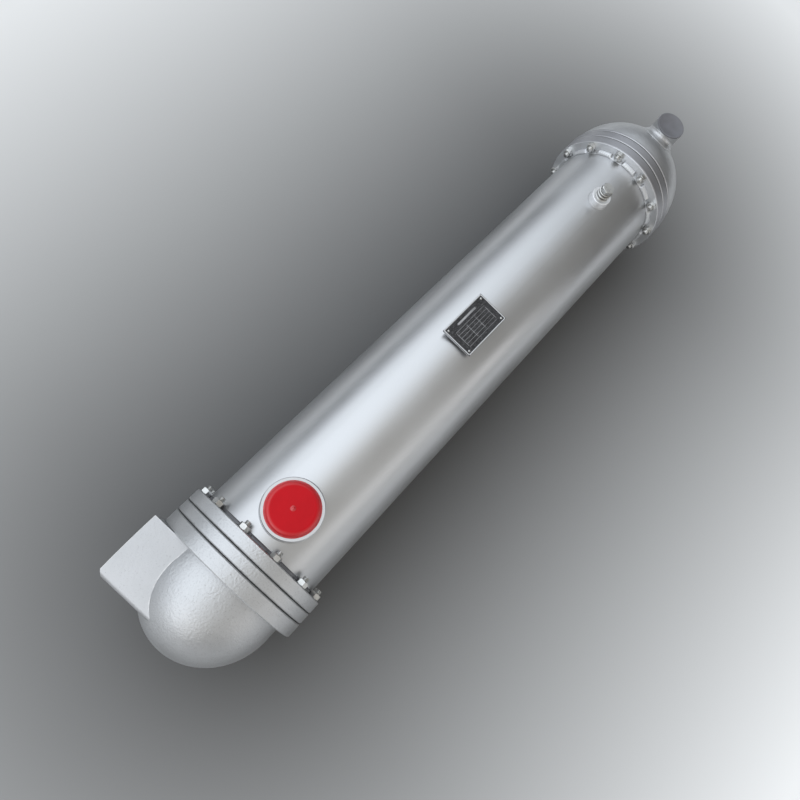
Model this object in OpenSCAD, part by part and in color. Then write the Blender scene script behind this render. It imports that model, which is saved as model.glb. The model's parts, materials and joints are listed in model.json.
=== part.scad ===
// Shell and tube heat exchanger, lying on two saddle feet.
// X runs along the shell, from the bonnet with the side nozzle at -X to the domed end at +X.
// Z is up, the floor is z = 0, and the origin is midway between the four foot bolts.

/* [Shell] */
// Outside diameter of the shell
shell_d = 219; // [205:1:235]
// Wall thickness of the shell
shell_wall = 8; // [6:0.5:10]
// Clear length of shell between its two flanges
shell_clear = 986; // [900:1:1100]
// Height of the shell's axis above the floor
axis_z = 170; // [165:1:190]

/* [Flanges] */
// How far the flanges stand out past the shell, measured on the radius
flange_reach = 21.5; // [21:0.5:26]
// Thickness of the two shell flanges
flange_t = 20; // [16:1:26]
// Thickness of the fixed tube plate
tube_plate_t = 18; // [14:1:24]
// Thickness of the flange on the near bonnet
near_rim_t = 24; // [20:1:30]
// Thickness of the lantern ring between the far flange and the far bonnet
lantern_t = 18; // [14:1:24]
// Thickness of each flat gasket
gasket_t = 2; // [1:0.5:3]
// Clearance between the flange welds and the nuts
weld_clear = 0.5; // [0.3:0.1:1]
// Length of the flange welds along the shell
weld_run = 7; // [4:0.5:8]
// Chamfer on the edges of flanges, tube plate and bonnet rims
rim_chamfer = 1.5; // [0.5:0.1:2]

/* [Studs] */
// Number of studs round each flange
stud_count = 12; // [8:4:16]
// Stud diameter
stud_d = 10; // [8:0.5:10]
// Clearance round a stud in its hole
stud_clear = 1; // [0.5:0.1:1.2]
// Distance of the stud circle from the flange edge
stud_edge = 11; // [10.5:0.1:11]
// Depth of the stud seats in the bonnets
stud_depth = 15; // [10:1:16]
// Width of a nut across its flats
nut_af = 16; // [15:0.5:16]
// Height of a nut
nut_h = 8.5; // [7:0.5:10]
// Stud end that shows past its nut
stud_tail = 6; // [3:1:10]

/* [Bonnets] */
// Wall thickness of both bonnets
bonnet_wall = 9; // [7:0.5:11]
// Straight collar of the near bonnet between flange and dome
near_collar = 24; // [20:1:40]
// Thickness of the pass partition across the near bonnet
partition_t = 10; // [8:1:12]
// Straight edge of the far bonnet before its dome
far_land = 3; // [2.5:0.5:6]
// Step from the far bonnet's edge in to its dome, measured on the radius
far_step = 2; // [1.5:0.5:3]

/* [Side nozzle] */
// Length of the nozzle block along the shell
nozzle_l = 107; // [102:1:112]
// Height of the nozzle block beside the flange
nozzle_h = 172; // [166:1:178]
// Radius of the block's crowned top and bottom
nozzle_crown = 300; // [260:5:400]
// Distance of the nozzle's face from the shell's axis
nozzle_reach = 134; // [132:1:160]
// Rounding of the block's two edges on the dome's end
nozzle_round = 10; // [6:1:14]
// Chamfer of the face's upright edge on the dome's end
nozzle_corner = 8; // [4:1:9]
// Bore of each of the two ports in the block
nozzle_bore_d = 64; // [54:1:66]
// Distance between the axes of the two ports
nozzle_pitch = 80; // [76:1:84]
// Diameter of the four tapped holes in the nozzle's face
nozzle_tap_d = 10; // [8:0.5:10.5]
// Depth of the tapped holes
nozzle_tap_depth = 20; // [15:1:22]
// Distance of the tapped holes from the block's ends
nozzle_tap_side = 15.5; // [15:0.5:17]
// Distance of the tapped holes from the block's top and bottom beside the flange
nozzle_tap_edge = 24; // [23.5:0.5:26]

/* [Far stub] */
// Outside diameter of the stub on the far dome
stub_d = 60; // [54:1:61]
// Wall of the stub
stub_wall = 3.5; // [3:0.5:5]
// Distance of the stub's outside from the dome's end
stub_edge = 2; // [1.5:0.5:10]
// Distance of the stub's end below the height of the dome's crown
stub_drop = 2; // [-8:1:6]
// Depth of the plug in the stub
stub_plug_t = 12; // [8:1:14]
// Thickness of the plug's head on the stub's end
stub_head_t = 2.5; // [1.5:0.5:4]

/* [Shell ports] */
// Outside diameter of a port boss
port_d = 94; // [90:1:105]
// Bore of a port
port_bore_d = 75; // [65:1:76]
// Distance of a port's axis from its flange
port_x = 68; // [64:1:90]
// Height of a boss above the shell's outside
port_h = 8.5; // [6:0.5:14]
// Diameter of the push-in cap
cap_d = 84; // [80:1:89]
// Height of the cap's head
cap_h = 11; // [8:0.5:14]
// Depth of the cap's skirt in the bore
cap_skirt = 12; // [8:0.5:14]
// Clearance round the cap's skirt
cap_clear = 0.3; // [0.1:0.1:0.6]

/* [Vent] */
// Distance of the vent from the far flange
vent_x = 112; // [100:1:130]
// Diameter of the vent boss
vent_boss_d = 38; // [34:1:44]
// Height of the vent boss above the shell's outside
vent_boss_h = 15; // [10:0.5:18]
// Bore of the vent boss
vent_bore_d = 24; // [20:0.5:26]
// Width of the vent plug's hexagon across its flats
vent_af = 21; // [19:0.5:24]
// Height of the plug's top above the shell's outside
vent_top = 40; // [38:1:50]
// Height of the plug's hexagon
vent_head_h = 9; // [7:0.5:12]
// Clearance round the plug's shank
vent_clear = 0.3; // [0.1:0.1:0.6]

/* [Name plate] */
// Place of the plate's centre along the shell
plate_x = -4; // [-30:1:30]
// Length of the plate along the shell
plate_l = 100; // [80:1:110]
// Width of the plate across the shell
plate_w = 61; // [50:1:70]
// Thickness of the plate
plate_t = 1.5; // [1:0.5:3]
// Height of the plate's underside above the shell
plate_rise = 8; // [5:0.5:14]
// Thickness of the bracket's sheet
bracket_t = 3; // [2:0.5:4]

/* [Feet] */
// Distance between the two rows of foot bolts
foot_pitch = 580; // [500:1:620]
// Distance between the bolts across the shell
foot_gauge = 140; // [120:1:150]
// Diameter of the foot bolt holes
foot_hole_d = 14; // [11:0.5:16]
// Width of a foot across the shell
foot_w = 190; // [184:1:200]
// Length of a foot along the shell
foot_l = 70; // [60:1:90]
// Thickness of a foot's base plate
foot_t = 12; // [8:1:16]
// Thickness of a foot's upright plates
web_t = 10; // [8:1:14]
// Thickness of the curved pad under the shell
pad_t = 6; // [4:0.5:8]

/* [Tubes] */
// Outside diameter of a tube
tube_d = 16; // [12:0.5:18]
// Wall of a tube
tube_wall = 1.5; // [1:0.25:2]
// Rings of tubes round the middle one
tube_rings = 3; // [2:1:3]
// Clearance between the outermost tubes and the shell's bore
bundle_clear = 15.5; // [8:0.5:20]
// Thickness of the floating tube plate
float_t = 34; // [30:1:40]
// Clearance between the floating tube plate and the shell
float_clear = 0.5; // [0.3:0.1:0.8]
// Clearance between the floating tube plate and the packings round it
pack_clear = 0.2; // [0.1:0.1:0.3]

/* [Hidden] */
$fn = 96;
eps = 1;
shell_r = shell_d / 2;
bore_r = shell_r - shell_wall;
flange_r = shell_r + flange_reach;
stud_r = flange_r - stud_edge;
hole_d = stud_d + stud_clear;
seat_d = stud_d + 0.2;
gasket_r = flange_r - rim_chamfer;
weld_leg = stud_r - nut_af / 2 - shell_r - weld_clear;
bonnet_r = shell_r;
dome_in_r = bonnet_r - bonnet_wall;
far_dome_r = flange_r - far_step;
stub_top = far_dome_r - stub_drop;
tube_pitch = (bore_r - bundle_clear - tube_d / 2) / tube_rings;
tap_x = nozzle_l - 2 * nozzle_tap_side;
tap_z = nozzle_h - 2 * nozzle_tap_edge;
crown_drop = nozzle_crown - nozzle_h / 2;
round_x = nozzle_round - nozzle_l / 2;
crown_run = nozzle_l - nozzle_round;
round_z = sqrt(pow(nozzle_crown - nozzle_round, 2) - pow(crown_run, 2)) - crown_drop;
crown_end = nozzle_l / 2 - crown_run * nozzle_crown / (nozzle_crown - nozzle_round);

// stations along X, from the near end to the far end
near_face = -shell_clear / 2 - 2;
near_joint = near_face - flange_t;
plate_near = near_joint - gasket_t - tube_plate_t;
near_rim = plate_near - gasket_t;
near_back = near_rim - near_rim_t;
near_centre = near_back - near_collar;
far_face = near_face + shell_clear;
far_joint = far_face + flange_t;
lantern_near = far_joint + gasket_t;
lantern_far = lantern_near + lantern_t;
far_rim = lantern_far + gasket_t;
far_centre = far_rim + far_land;
float_near = (lantern_near + lantern_far - float_t) / 2;
float_far = float_near + float_t;
nozzle_x = near_back - nozzle_l / 2;
inlet_x = near_face + port_x;
outlet_x = far_face - port_x;
vent_pos = far_face - vent_x;
stub_pos = far_centre + far_dome_r - stub_edge - stub_d / 2;

silver = [0.74, 0.75, 0.77];
cast_silver = [0.70, 0.71, 0.72];
zinc = [0.80, 0.80, 0.78];
red = [0.77, 0.11, 0.16];
dark = [0.12, 0.12, 0.12];
brass = [0.78, 0.62, 0.30];

// shapes that repeat

// children with their Z axis laid along +X on the shell's axis
module along(x) {
  translate([x, 0, axis_z]) rotate([0, 90, 0]) children();
}

// children at every stud position round the axis
module stud_ring() {
  for (i = [0 : stud_count - 1])
    rotate([0, 0, (i + 0.5) * 360 / stud_count])
      translate([stud_r, 0, 0]) children();
}

// half section of a round plate with chamfered edges, from radius ri to ro
module plate_section(ro, ri, t, c) {
  polygon([[ri, 0], [ro - c, 0], [ro, c], [ro, t - c], [ro - c, t], [ri, t]]);
}

// flat ring with stud holes and an edge chamfer c, from x0 to x1
module bolted_ring(x0, x1, ro, ri, c) {
  along(x0) difference() {
    rotate_extrude() plate_section(ro, ri, x1 - x0, c);
    translate([0, 0, -eps]) stud_ring() cylinder(d = hole_d, h = x1 - x0 + 2 * eps);
  }
}

// plain gasket ring with stud holes, from x0 to x1
module gasket_ring(x0, x1, ro, ri) {
  along(x0) difference() {
    cylinder(r = ro, h = x1 - x0);
    translate([0, 0, -eps]) cylinder(r = ri, h = x1 - x0 + 2 * eps);
    translate([0, 0, -eps]) stud_ring() cylinder(d = hole_d, h = x1 - x0 + 2 * eps);
  }
}

// weld bead round the shell, standing on the plane x, dir is the side it runs to
module shell_weld(x, dir) {
  along(x) rotate([dir < 0 ? 180 : 0, 0, 0]) rotate_extrude()
    polygon([
      [shell_r, 0], [shell_r + weld_leg, 0], [shell_r + weld_leg, 0.2 * weld_run],
      [shell_r + 0.7 * weld_leg, 0.6 * weld_run], [shell_r, weld_run]
    ]);
}

// radial boss on the shell, bored through, up is +1 on top and -1 below
module shell_boss(x, up, d, bore, h) {
  top = shell_r + h;
  translate([x, 0, axis_z]) rotate([up > 0 ? 0 : 180, 0, 0]) difference() {
    rotate_extrude()
      polygon([[bore / 2, 0], [d / 2, 0], [d / 2, top - 1], [d / 2 - 1, top], [bore / 2, top]]);
    rotate([0, 90, 0]) cylinder(r = shell_r, h = 4 * d, center = true);
  }
}

// push-in cap with a lip, a rounded edge, a skirt and a small nub in the middle
module port_cap(x, up) {
  top = shell_r + port_h;
  r = cap_d / 2;
  skirt_r = port_bore_d / 2 - cap_clear;
  translate([x, 0, axis_z]) rotate([up > 0 ? 0 : 180, 0, 0]) translate([0, 0, top]) rotate_extrude()
    polygon([
      [0, cap_h - 4], [0, cap_h + 1], [1.5, cap_h + 0.6], [3, cap_h - 0.3], [r - 6, cap_h],
      [r - 3.6, cap_h - 0.5], [r - 2, cap_h - 1.8], [r - 1.3, cap_h - 4], [r - 1, 2.2], [r, 1.8], [r, 0],
      [skirt_r, 0], [skirt_r - 0.6, -cap_skirt], [skirt_r - 3, -cap_skirt], [skirt_r - 3, cap_h - 4]
    ]);
}

// studs from the seat's bottom, through the joint, to the tail past the nut
module studs(from_x, to_x) {
  along(from_x) stud_ring() cylinder(d = stud_d, h = to_x - from_x);
}

// hexagon nuts standing on the plane x, dir is the side they stand on
module nuts(x, dir) {
  along(dir > 0 ? x : x - nut_h) stud_ring() difference() {
    rotate([0, 0, 30]) cylinder(d = nut_af / cos(30), h = nut_h, $fn = 6);
    translate([0, 0, -eps]) cylinder(d = seat_d, h = nut_h + 2 * eps);
  }
}

// base plate of a foot with its two bolt holes
module foot_base(x) {
  difference() {
    translate([x - foot_l / 2, -foot_w / 2, 0]) cube([foot_l, foot_w, foot_t]);
    for (s = [-1, 1])
      translate([x, s * foot_gauge / 2, -eps]) cylinder(d = foot_hole_d, h = foot_t + 2 * eps);
  }
}

// upright plate of a foot, wider at the top and hollowed to carry the curved pad
module foot_web(x) {
  low = foot_gauge / 2 - 20;
  high = foot_w / 2 - 7;
  rise = axis_z - foot_t - 40;
  difference() {
    translate([x + web_t / 2, 0, foot_t]) rotate([90, 0, -90]) linear_extrude(web_t)
      polygon([[-low, 0], [low, 0], [high, rise], [-high, rise]]);
    along(x - foot_l) cylinder(r = shell_r + pad_t, h = 2 * foot_l);
  }
}

// four ribs that stand between the base plate and the pad, two on each face of the upright plate
module foot_ribs(x) {
  rib_y = foot_gauge / 2 - 36;
  rib_l = (foot_l - web_t) / 2 - 4;
  difference() {
    for (sx = [-1, 1], sy = [-1, 1])
      translate([sx > 0 ? x + web_t / 2 : x - web_t / 2 - rib_l, sy * rib_y - web_t / 2, foot_t])
        cube([rib_l, web_t, axis_z - foot_t - 40]);
    along(x - foot_l) cylinder(r = shell_r + pad_t, h = 2 * foot_l);
  }
}

// curved pad between the shell and the upright plates
module foot_pad(x) {
  intersection() {
    along(x - foot_l / 2) difference() {
      cylinder(r = shell_r + pad_t, h = foot_l);
      translate([0, 0, -eps]) cylinder(r = shell_r, h = foot_l + 2 * eps);
    }
    translate([x - foot_l, -foot_w / 2, 0]) cube([2 * foot_l, foot_w, axis_z - 34]);
  }
}

// half section of a solid dome on a straight part of length depth
module dome_section(r, depth) {
  square([r, depth]);
  translate([0, depth]) intersection() {
    circle(r = r);
    translate([0, -eps]) square([r, 2 * r]);
  }
}

// half section of the near bonnet: rim, collar and dome outside, one wall's thickness inside
module near_section() {
  spring = near_rim_t + near_collar;
  difference() {
    union() {
      plate_section(flange_r, 0, near_rim_t, rim_chamfer);
      dome_section(bonnet_r, spring);
    }
    translate([0, -eps]) dome_section(dome_in_r, spring + eps);
  }
}

// half section of the far bonnet: short edge and dome outside, straight bore and dished end inside
module far_section() {
  difference() {
    union() {
      polygon([
        [0, 0], [flange_r - rim_chamfer, 0], [flange_r, rim_chamfer], [flange_r, far_land],
        [far_dome_r - 1, far_land + far_step + 1], [0, far_land + far_step + 1]
      ]);
      dome_section(far_dome_r, far_land);
    }
    intersection() {
      translate([0, -eps]) dome_section(far_dome_r - bonnet_wall, far_land + eps);
      translate([0, -2 * eps]) square([bore_r, 2 * flange_r]);
    }
  }
}

// outline of the nozzle block seen from its face: crowned above and below, rounded at the dome's end
module nozzle_outline() {
  end = nozzle_l / 2;
  intersection() {
    translate([crown_end, -nozzle_h]) square([end - crown_end, 2 * nozzle_h]);
    translate([end, -crown_drop]) circle(r = nozzle_crown);
    translate([end, crown_drop]) circle(r = nozzle_crown);
  }
  translate([-end, -round_z]) square([nozzle_round + eps, 2 * round_z]);
  for (s = [-1, 1])
    translate([round_x, s * round_z]) circle(r = nozzle_round);
}

// children laid with their Z axis along -Y, starting in the plane of the nozzle's face
module from_nozzle_face() {
  translate([nozzle_x, nozzle_reach, axis_z]) rotate([90, 0, 0]) children();
}

// what the chamfer takes off the face's upright edge on the dome's end
module nozzle_corner_cut() {
  past = nozzle_corner + 1;
  translate([nozzle_x - nozzle_l / 2, nozzle_reach, axis_z - nozzle_h]) linear_extrude(2 * nozzle_h)
    polygon([[-1, -past], [past, 1], [-1, 1]]);
}

// the two port bores, from past the nozzle's face to the shell's axis
module nozzle_bores() {
  from_nozzle_face() for (s = [-1, 1])
    translate([0, s * nozzle_pitch / 2, -eps]) cylinder(d = nozzle_bore_d, h = nozzle_reach + eps);
}

// hexagonal field of tube centres, without those that the pass partition would cover
module tube_field() {
  for (i = [-tube_rings : tube_rings], j = [-tube_rings : tube_rings])
    if (abs(i + j) <= tube_rings && abs(2 * i + j) > 0)
      translate([(i + j / 2) * tube_pitch, j * tube_pitch * sqrt(3) / 2, 0]) children();
}

// pieces

module shell() {
  color(silver) difference() {
    along(near_joint) difference() {
      cylinder(r = shell_r, h = far_joint - near_joint);
      translate([0, 0, -eps]) cylinder(r = bore_r, h = far_joint - near_joint + 2 * eps);
    }
    translate([inlet_x, 0, axis_z]) cylinder(d = port_bore_d, h = shell_d);
    translate([outlet_x, 0, axis_z - shell_d]) cylinder(d = port_bore_d, h = shell_d);
    translate([vent_pos, 0, axis_z]) cylinder(d = vent_bore_d, h = shell_d);
  }
}

module near_shell_flange() {
  color(cast_silver) bolted_ring(near_joint, near_face, flange_r, shell_r, rim_chamfer);
}

module near_flange_weld() {
  color(silver) shell_weld(near_face, 1);
}

module near_shell_gasket() {
  color(dark) gasket_ring(near_joint - gasket_t, near_joint, gasket_r, bore_r);
}

module near_tube_plate() {
  color(cast_silver) along(plate_near) difference() {
    rotate_extrude() plate_section(flange_r, 0, tube_plate_t, rim_chamfer);
    translate([0, 0, -eps]) stud_ring() cylinder(d = hole_d, h = tube_plate_t + 2 * eps);
    translate([0, 0, -eps]) tube_field() cylinder(d = tube_d, h = tube_plate_t + 2 * eps);
  }
}

// ring with a rib across its middle that seals the pass partition
module near_bonnet_gasket() {
  color(dark) union() {
    gasket_ring(near_rim, near_rim + gasket_t, gasket_r, dome_in_r);
    translate([near_rim, -dome_in_r - bonnet_wall / 2, axis_z - partition_t / 2])
      cube([gasket_t, 2 * dome_in_r + bonnet_wall, partition_t]);
  }
}

// cast end with bolting rim, collar and dome, parted across the middle and open to the two nozzle ports
module near_bonnet() {
  color(cast_silver) difference() {
    union() {
      translate([near_rim, 0, axis_z]) rotate([0, -90, 0]) rotate_extrude() near_section();
      intersection() {
        translate([near_rim, 0, axis_z]) rotate([0, -90, 0]) rotate_extrude()
          dome_section(dome_in_r + bonnet_wall / 2, near_rim_t + near_collar);
        translate([near_centre - bonnet_r, -bonnet_r, axis_z - partition_t / 2])
          cube([near_rim - near_centre + bonnet_r, 2 * bonnet_r, partition_t]);
      }
    }
    along(near_rim - stud_depth) stud_ring() cylinder(d = seat_d, h = stud_depth + eps);
    nozzle_bores();
  }
}

// crowned block on the bonnet's side, saddled to dome and collar, with two ports and a bolting face
module side_nozzle() {
  color(silver) difference() {
    from_nozzle_face() linear_extrude(nozzle_reach) nozzle_outline();
    nozzle_corner_cut();
    nozzle_bores();
    from_nozzle_face() for (sx = [-1, 1], sz = [-1, 1])
      translate([sx * tap_x / 2, sz * tap_z / 2, -eps])
        cylinder(d = nozzle_tap_d, h = nozzle_tap_depth + eps);
    along(near_centre) cylinder(r = bonnet_r, h = near_collar + near_rim_t);
    translate([near_centre, 0, axis_z]) sphere(r = bonnet_r);
  }
}

module near_studs() {
  color(zinc) studs(near_rim - stud_depth, near_face + nut_h + stud_tail);
}

module near_nuts() {
  color(zinc) nuts(near_face, 1);
}

module far_shell_flange() {
  color(cast_silver) bolted_ring(far_face, far_joint, flange_r, shell_r, rim_chamfer);
}

module far_flange_weld() {
  color(silver) shell_weld(far_face, -1);
}

// packing between the far flange and the lantern ring, close round the floating tube plate
module far_gasket() {
  color(dark) gasket_ring(far_joint, lantern_near, gasket_r, bore_r - float_clear + pack_clear);
}

module lantern_ring() {
  color(cast_silver) bolted_ring(lantern_near, lantern_far, flange_r, bore_r, rim_chamfer);
}

// packing between the lantern ring and the far bonnet
module far_bonnet_gasket() {
  color(dark) gasket_ring(lantern_far, far_rim, gasket_r, bore_r - float_clear + pack_clear);
}

// cast end with a short edge and a full dome, bored for the stub
module far_bonnet() {
  color(cast_silver) difference() {
    translate([far_rim, 0, axis_z]) rotate([0, 90, 0]) rotate_extrude() far_section();
    along(far_rim - eps) stud_ring() cylinder(d = seat_d, h = stud_depth + eps);
    translate([stub_pos, 0, axis_z]) cylinder(d = stub_d - 2 * stub_wall, h = stub_top);
  }
}

module far_stub() {
  rise = stub_top - stub_head_t;
  color(silver) translate([0, 0, axis_z]) difference() {
    translate([stub_pos, 0, 0]) cylinder(d = stub_d, h = rise);
    translate([stub_pos, 0, -eps]) cylinder(d = stub_d - 2 * stub_wall, h = rise + 2 * eps);
    translate([far_centre, 0, 0]) sphere(r = far_dome_r);
  }
}

// plug with a flat head that covers the stub's end
module far_stub_plug() {
  color([0.46, 0.46, 0.46]) translate([stub_pos, 0, axis_z + stub_top - stub_head_t]) union() {
    translate([0, 0, -stub_plug_t]) cylinder(d = stub_d - 2 * stub_wall, h = stub_plug_t + eps);
    cylinder(d = stub_d - 1, h = stub_head_t);
  }
}

module far_studs() {
  color(zinc) studs(far_face - nut_h - stud_tail, far_rim + stud_depth);
}

module far_nuts() {
  color(zinc) nuts(far_face, -1);
}

module inlet_boss() {
  color(silver) shell_boss(inlet_x, 1, port_d, port_bore_d, port_h);
}

module inlet_cap() {
  color(red) port_cap(inlet_x, 1);
}

module outlet_boss() {
  color(silver) shell_boss(outlet_x, -1, port_d, port_bore_d, port_h);
}

module outlet_cap() {
  color(red) port_cap(outlet_x, -1);
}

module vent_boss() {
  color(silver) shell_boss(vent_pos, 1, vent_boss_d, vent_bore_d, vent_boss_h);
}

// shank in the boss, wider threaded neck on its face and a narrower hexagon head
module vent_plug() {
  neck_h = vent_top - vent_boss_h - vent_head_h;
  color(brass) translate([vent_pos, 0, axis_z + shell_r + vent_boss_h]) union() {
    translate([0, 0, -14]) cylinder(d = vent_bore_d - 2 * vent_clear, h = 14 + eps);
    cylinder(d = vent_bore_d + 2, h = neck_h);
    translate([0, 0, neck_h - eps]) cylinder(d = vent_af / cos(30), h = vent_head_h + eps, $fn = 6);
  }
}

// folded sheet with two legs that stand on the shell
module name_plate_bracket() {
  z0 = axis_z + shell_r;
  color(silver) difference() {
    union() {
      translate([plate_x - plate_l / 2, -plate_w / 2, z0 + plate_rise - bracket_t])
        cube([plate_l, plate_w, bracket_t]);
      for (s = [-1, 1])
        translate([plate_x + s * (plate_l / 2 - 12) - bracket_t / 2, -plate_w / 2 + 6, axis_z])
          cube([bracket_t, plate_w - 12, shell_r + plate_rise - eps]);
    }
    along(plate_x - plate_l) cylinder(r = shell_r, h = 2 * plate_l);
  }
}

module name_plate() {
  color([0.05, 0.05, 0.05])
    translate([plate_x - plate_l / 2, -plate_w / 2, axis_z + shell_r + plate_rise])
      cube([plate_l, plate_w, plate_t]);
}

module near_foot_base() {
  color(silver) foot_base(-foot_pitch / 2);
}

module near_foot_web() {
  color(silver) foot_web(-foot_pitch / 2);
}

module near_foot_ribs() {
  color(silver) foot_ribs(-foot_pitch / 2);
}

module near_foot_pad() {
  color(silver) foot_pad(-foot_pitch / 2);
}

module far_foot_base() {
  color(silver) foot_base(foot_pitch / 2);
}

module far_foot_web() {
  color(silver) foot_web(foot_pitch / 2);
}

module far_foot_ribs() {
  color(silver) foot_ribs(foot_pitch / 2);
}

module far_foot_pad() {
  color(silver) foot_pad(foot_pitch / 2);
}

module tube_bundle() {
  color([0.72, 0.45, 0.30]) along(plate_near) tube_field() difference() {
    cylinder(d = tube_d, h = float_far - plate_near);
    translate([0, 0, -eps]) cylinder(d = tube_d - 2 * tube_wall, h = float_far - plate_near + 2 * eps);
  }
}

// plate that slides in the packings on both sides of the lantern ring
module floating_tube_plate() {
  color(cast_silver) along(float_near) difference() {
    cylinder(r = bore_r - float_clear, h = float_t);
    translate([0, 0, -eps]) tube_field() cylinder(d = tube_d, h = float_t + 2 * eps);
  }
}

shell();
near_shell_flange();
near_flange_weld();
near_shell_gasket();
near_tube_plate();
near_bonnet_gasket();
near_bonnet();
side_nozzle();
near_studs();
near_nuts();
far_shell_flange();
far_flange_weld();
far_gasket();
lantern_ring();
far_bonnet_gasket();
far_bonnet();
far_stub();
far_stub_plug();
far_studs();
far_nuts();
inlet_boss();
inlet_cap();
outlet_boss();
outlet_cap();
vent_boss();
vent_plug();
name_plate_bracket();
name_plate();
near_foot_base();
near_foot_web();
near_foot_ribs();
near_foot_pad();
far_foot_base();
far_foot_web();
far_foot_ribs();
far_foot_pad();
tube_bundle();
floating_tube_plate();
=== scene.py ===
# %% [markdown]
# # A shell and tube heat exchanger
# A long steel shell holds a bundle of tubes. One fluid runs through the tubes and another round them.
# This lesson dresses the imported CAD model: it keeps the solids whose shape is right, gives each of them a
# painted or plated finish, and adds the fine pieces that are easier to describe as formulas than as solids.

# %% Load the frame and measure it
import json
import math

import bmesh
import bpy
import numpy as np
from mathutils import Matrix, Vector


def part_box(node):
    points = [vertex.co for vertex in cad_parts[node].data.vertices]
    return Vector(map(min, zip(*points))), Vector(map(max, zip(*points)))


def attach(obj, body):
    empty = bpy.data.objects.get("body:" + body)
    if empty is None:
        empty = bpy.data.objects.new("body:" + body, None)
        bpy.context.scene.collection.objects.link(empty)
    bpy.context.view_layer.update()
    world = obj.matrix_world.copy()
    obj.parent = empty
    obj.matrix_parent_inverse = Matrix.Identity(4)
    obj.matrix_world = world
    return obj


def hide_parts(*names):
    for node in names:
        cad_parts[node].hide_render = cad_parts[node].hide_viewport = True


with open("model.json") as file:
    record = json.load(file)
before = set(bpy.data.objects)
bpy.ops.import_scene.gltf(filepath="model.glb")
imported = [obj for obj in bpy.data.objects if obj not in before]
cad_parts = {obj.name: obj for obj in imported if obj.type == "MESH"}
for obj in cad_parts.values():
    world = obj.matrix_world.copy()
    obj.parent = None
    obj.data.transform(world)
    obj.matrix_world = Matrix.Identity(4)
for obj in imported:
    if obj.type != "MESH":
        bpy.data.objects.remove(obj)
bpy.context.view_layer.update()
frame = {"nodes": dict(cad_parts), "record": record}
nodes = frame["nodes"]


def lo_hi(name):
    """Lowest and highest corner of a CAD node as numpy arrays, in metres."""
    low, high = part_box(name)
    return np.array(low), np.array(high)


shell_low, shell_high = lo_hi("shell")
axis_z = (shell_low[2] + shell_high[2]) / 2
shell_r = (shell_high[1] - shell_low[1]) / 2
near_face = lo_hi("near_shell_flange")[1][0]
far_face = lo_hi("far_shell_flange")[0][0]
print("shell axis at", round(axis_z, 4), "m, radius", round(shell_r, 4), "m")
print("flange faces at", round(near_face, 4), "and", round(far_face, 4), "m")

# %% [markdown]
# ## Camera
# The picture is taken standing over the near end and looking steeply down along the shell, with the camera
# rolled so that the shell runs from corner to corner. A camera can be aimed with a Track To constraint, but
# a direction and a roll angle say exactly what is meant, so the three axes are worked out here.

# %% Camera
eye = np.array([-0.4992, -0.0249, 1.2027])
pitch, heading, roll = math.radians(69.69), math.radians(-2.24), math.radians(46.16)
flat = math.cos(pitch)
ahead = np.array([flat * math.cos(heading), flat * math.sin(heading), -math.sin(pitch)])
level_right = np.cross(ahead, [0, 0, 1])
level_right /= np.linalg.norm(level_right)
level_up = np.cross(level_right, ahead)
right = math.cos(roll) * level_right + math.sin(roll) * level_up
up = np.cross(right, ahead)

camera_data = bpy.data.cameras.new("photo_camera")
camera = bpy.data.objects.new("photo_camera", camera_data)
bpy.context.scene.collection.objects.link(camera)
turn = np.eye(4)
turn[:3, 0], turn[:3, 1], turn[:3, 2], turn[:3, 3] = right, up, -ahead, eye
camera.matrix_world = Matrix(turn.tolist())
camera_data.sensor_width = 36
camera_data.lens = 27.4
camera_data.shift_x = -0.0388
camera_data.shift_y = 0.0038
camera_data.clip_start = 0.01
bpy.context.scene.camera = camera
print("camera at", eye, "looking", ahead.round(3))

# %% [markdown]
# ## Finishes
# Aluminium paint is flakes of metal in a clear binder: part mirror, part pale grey. The sprayed shell is
# smooth; the castings show sand grain through the paint. Each finish is a Principled shader whose colour,
# roughness and bump come from noise on Object coordinates, so the grain stays on the metal from every side.
# The Bevel node bends the normal near an edge; where it differs from the true normal the coat is worn, and
# on the red caps the lighter edge tone is a painted highlight.

# %% Shader helpers


def node_of(tree, kind, **values):
    """Adds one shader node and sets its sockets by name."""
    made = tree.nodes.new(kind)
    for socket, value in values.items():
        made.inputs[socket.replace("_", " ")].default_value = value
    return made


def noise_of(tree, place, scale, detail=3.0):
    """A noise of the given scale per metre, read at the place socket."""
    noise = node_of(tree, "ShaderNodeTexNoise", Scale=scale, Detail=detail)
    tree.links.new(place, noise.inputs["Vector"])
    return noise.outputs["Fac"]


def span(tree, value, low, high, to_low, to_high):
    """Maps value from low..high to to_low..to_high, clamped."""
    ranged = node_of(tree, "ShaderNodeMapRange", From_Min=low, From_Max=high, To_Min=to_low, To_Max=to_high)
    tree.links.new(value, ranged.inputs["Value"])
    return ranged.outputs["Result"]


def mixed(tree, amount, first, second):
    """Colour mix by the amount socket; first is a socket or a colour, second is a colour."""
    mix = tree.nodes.new("ShaderNodeMix")
    mix.data_type = "RGBA"
    tree.links.new(amount, mix.inputs["Factor"])
    if isinstance(first, tuple):
        mix.inputs["A"].default_value = (*first, 1)
    else:
        tree.links.new(first, mix.inputs["A"])
    mix.inputs["B"].default_value = (*second, 1)
    return mix.outputs["Result"]


def sums(tree, operation, first, second=None):
    """A Math node; each input is a socket or a number."""
    made = tree.nodes.new("ShaderNodeMath")
    made.operation = operation
    for number, value in enumerate((first, second)):
        if isinstance(value, (int, float)):
            made.inputs[number].default_value = value
        elif value is not None:
            tree.links.new(value, made.inputs[number])
    return made.outputs["Value"]


# %% Worn edges and the finish itself


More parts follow.
